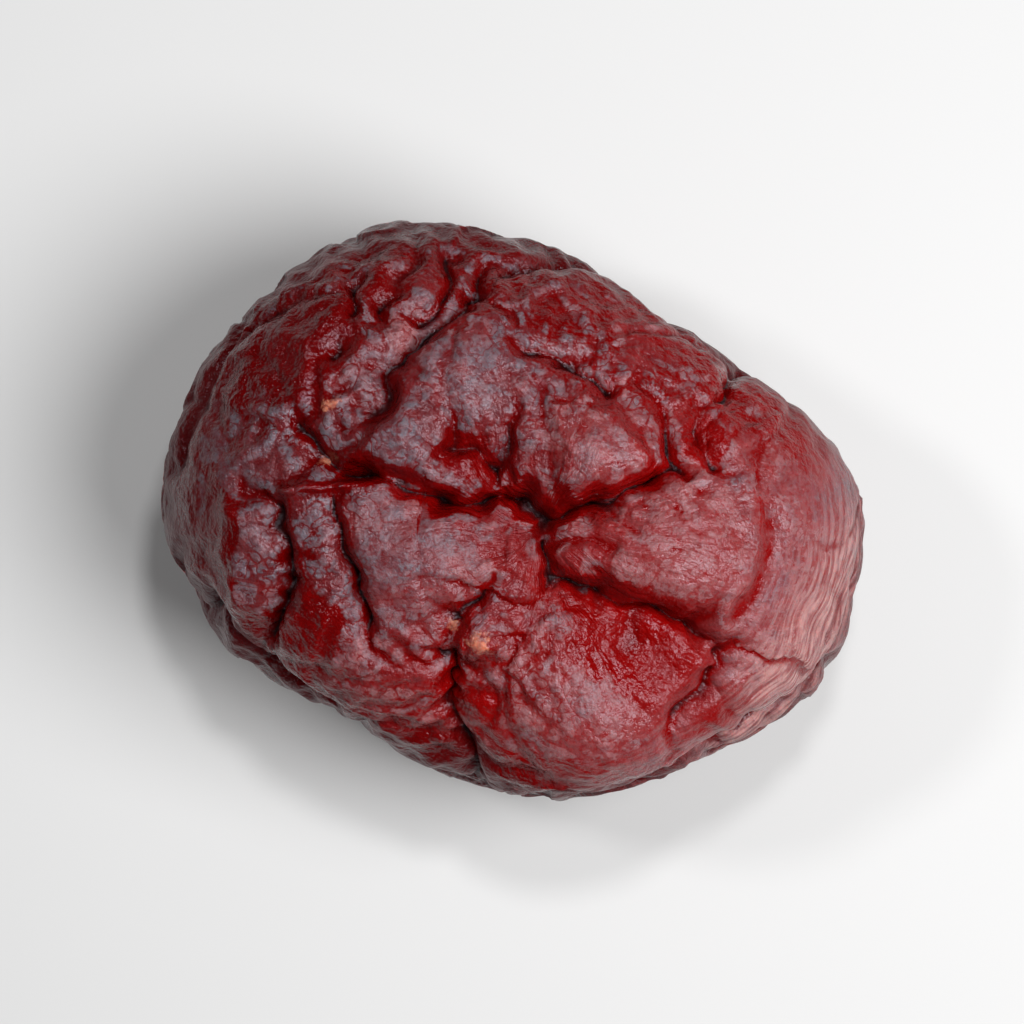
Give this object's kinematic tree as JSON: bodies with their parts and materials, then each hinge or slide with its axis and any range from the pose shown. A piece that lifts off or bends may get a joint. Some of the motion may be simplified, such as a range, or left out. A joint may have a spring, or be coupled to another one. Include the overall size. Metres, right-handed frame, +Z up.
{
  "type": "dried cranberry",
  "caption": "Whole dried cranberry: an oval fruit with creased skin and deep folds across its upper face, resting on a small flat spot.",
  "frame": {"origin": "centre of the bounding box's bottom, in the plane of the small flat spot the berry rests on", "axes": "+Z up, away from the flat spot, out of the folded upper face; +X along the berry's longest extent"},
  "size_m": [0.0166, 0.0136, 0.0101],
  "materials": {
    "skin": "half glossy, wrinkled, dark translucent red"
  },
  "bodies": {
    "root": {"cranberry": "skin"}
  },
  "joints": []
}
